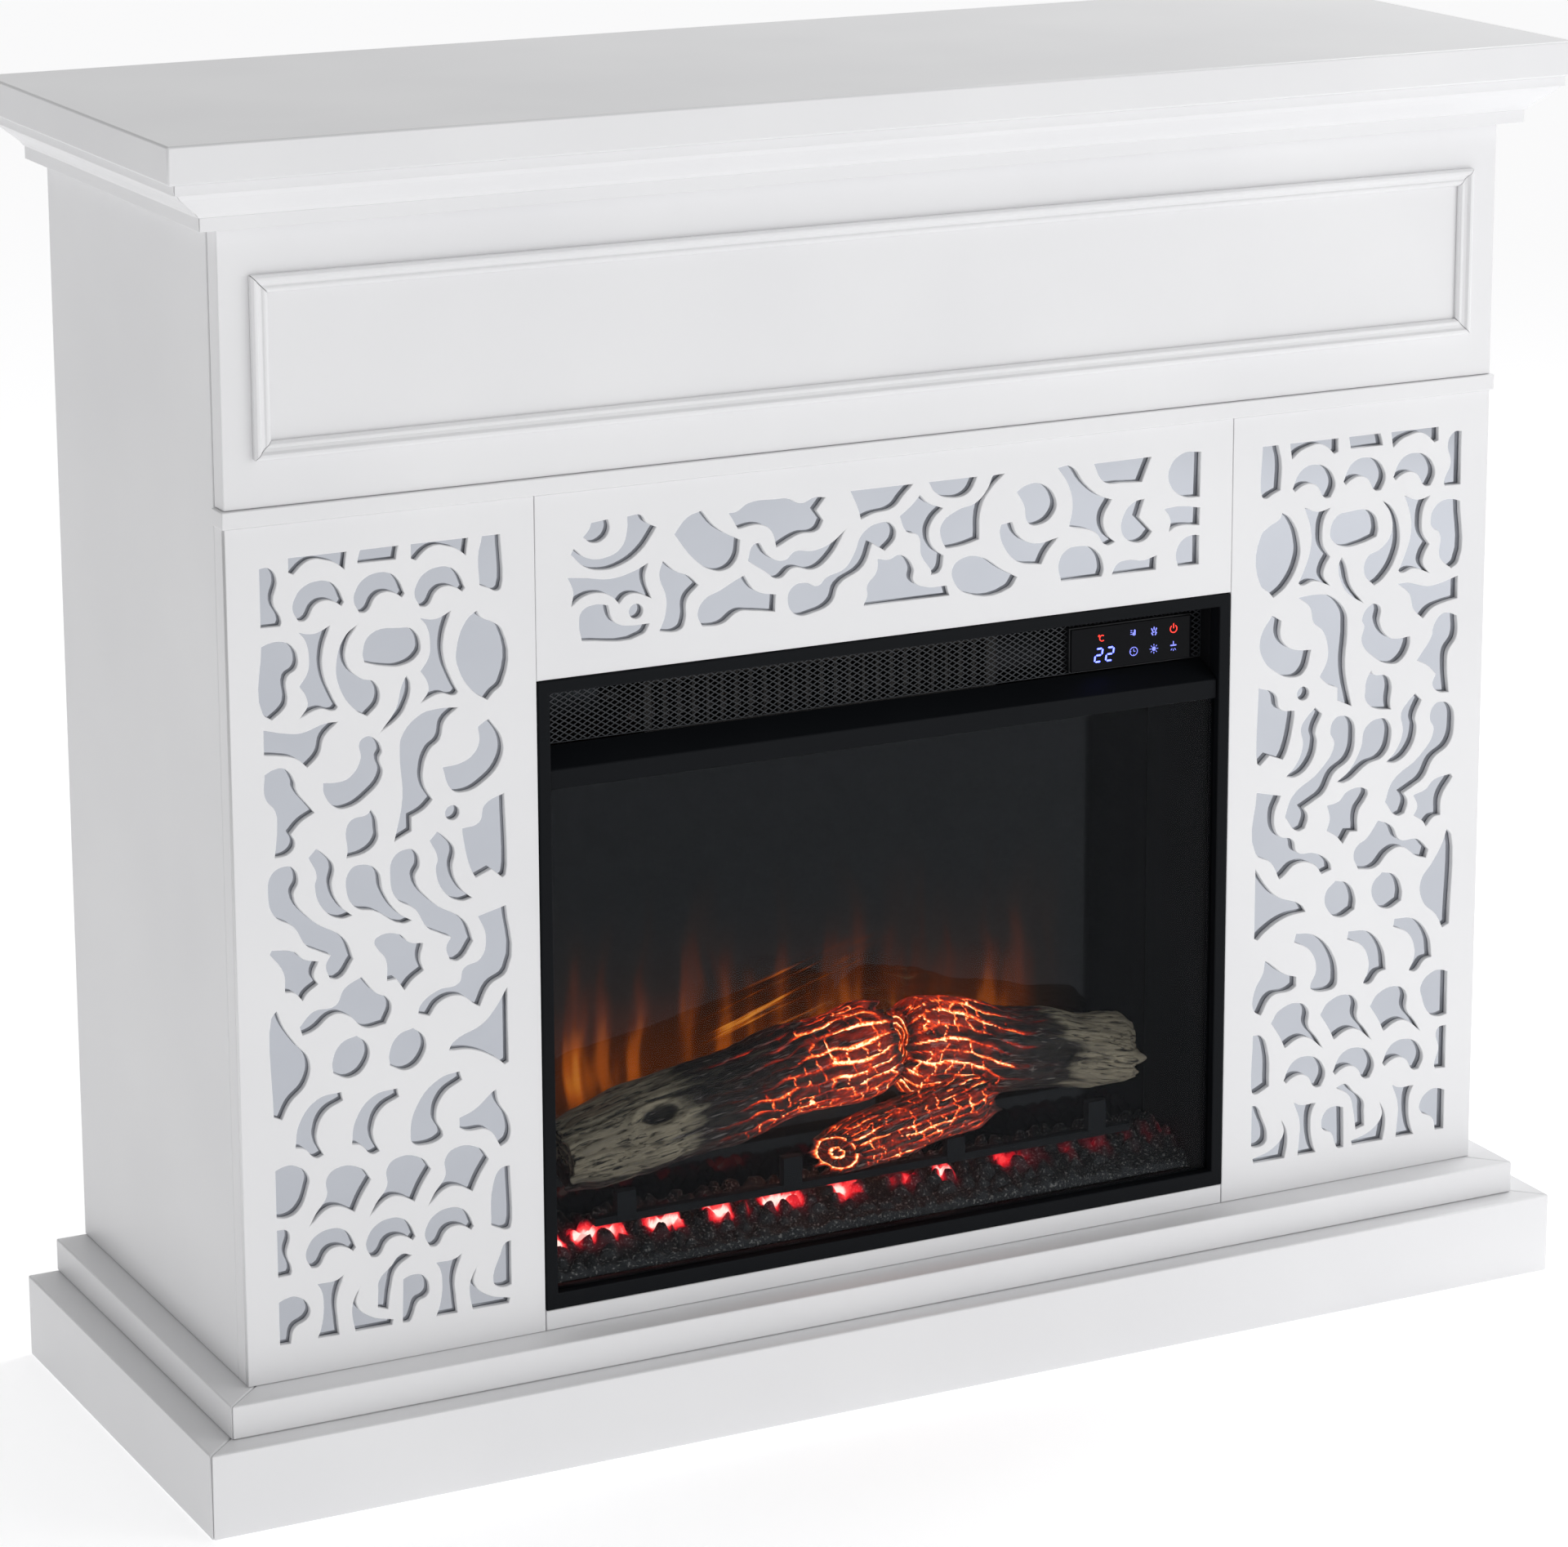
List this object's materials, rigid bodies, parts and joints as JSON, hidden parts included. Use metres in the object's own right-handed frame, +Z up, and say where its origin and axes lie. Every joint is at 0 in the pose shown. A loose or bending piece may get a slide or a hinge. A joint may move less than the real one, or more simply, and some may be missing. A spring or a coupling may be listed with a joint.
{
  "type": "electric fireplace",
  "caption": "White mantel surround with mirror-backed fretwork panels around a black electric fireplace insert with a log set, heater outlet and touch display.",
  "frame": {"origin": "on the floor, under the middle of the footprint", "axes": "+X along the mantel to the viewer's right, +Y from the front towards the wall, +Z up"},
  "size_m": [1.164, 0.404, 1.015],
  "materials": {
    "white_paint": "satin white paint sprayed on fibreboard",
    "raw_board": "unpainted medium density fibreboard",
    "mirror_glass": "silvered sheet glass",
    "black_steel": "fine matt black powder coat on sheet steel",
    "galvanised_steel": "galvanised sheet steel",
    "smoked_glass": "polished, lightly smoked",
    "black_plastic": "moulded, fine texture",
    "log_resin": "moulded resin painted as weathered, charred wood",
    "ember_resin": "moulded resin embers, translucent where lit",
    "circuit_board": "solder mask",
    "aluminium": "mill finish"
  },
  "bodies": {
    "fireplace": {"plinth_front": "white_paint", "plinth_left": "white_paint", "plinth_right": "white_paint", "base_step_front": "white_paint", "base_step_left": "white_paint", "base_step_right": "white_paint", "mantel_top": "white_paint", "crown_front": "white_paint", "crown_left": "white_paint", "crown_right": "white_paint", "frieze_board": "white_paint", "belt_rail": "white_paint", "bottom_rail": "white_paint", "side_panel_left": "white_paint", "side_panel_right": "white_paint", "frieze_trim_top": "white_paint", "frieze_trim_bottom": "white_paint", "frieze_trim_left": "white_paint", "frieze_trim_right": "white_paint", "fret_panel_left": "white_paint", "fret_panel_right": "white_paint", "fret_panel_header": "white_paint", "base_shelf": "raw_board", "upright_left": "raw_board", "upright_right": "raw_board", "back_rail": "raw_board", "fascia_left": "raw_board", "fascia_right": "raw_board", "fascia_header": "raw_board", "mirror_left": "mirror_glass", "mirror_right": "mirror_glass", "mirror_header": "mirror_glass", "bezel_frame": "black_steel", "case_wrap": "black_steel", "case_top": "black_steel", "outlet_hood": "black_steel", "outlet_grille": "black_steel", "grate": "black_steel", "case_back": "galvanised_steel", "rotor_motor": "galvanised_steel", "blower_housing": "galvanised_steel", "blower_motor": "galvanised_steel", "control_lens": "smoked_glass", "glass_pane": "smoked_glass", "flame_screen": "smoked_glass", "control_housing": "black_plastic", "rotor_bearing": "black_plastic", "cord_gland": "black_plastic", "rocker_body": "black_plastic", "log_left": "log_resin", "log_right": "log_resin", "log_stub": "log_resin", "ember_bed": "ember_resin", "control_board": "circuit_board", "led_board_ember": "circuit_board", "led_board_flame": "circuit_board", "heating_element": "aluminium"},
    "blower_wheel": {"blower_wheel": "aluminium"},
    "flame_rotor": {"flame_rotor": "aluminium"},
    "power_rocker": {"power_rocker": "black_plastic"}
  },
  "joints": [
    {"name": "blower_spin", "type": "hinge", "parent": "fireplace", "child": "blower_wheel", "pos_m": [-0.04, -0.0647, 0.554], "axis": [1, 0, 0], "continuous": true},
    {"name": "flame_rotor_spin", "type": "hinge", "parent": "fireplace", "child": "flame_rotor", "pos_m": [-0.02, 0, 0.1825], "axis": [1, 0, 0], "continuous": true},
    {"name": "power_rocker_tilt", "type": "hinge", "parent": "fireplace", "child": "power_rocker", "pos_m": [0.205, 0.0658, 0.545], "axis": [1, 0, 0], "range_deg": [0, 16]}
  ]
}
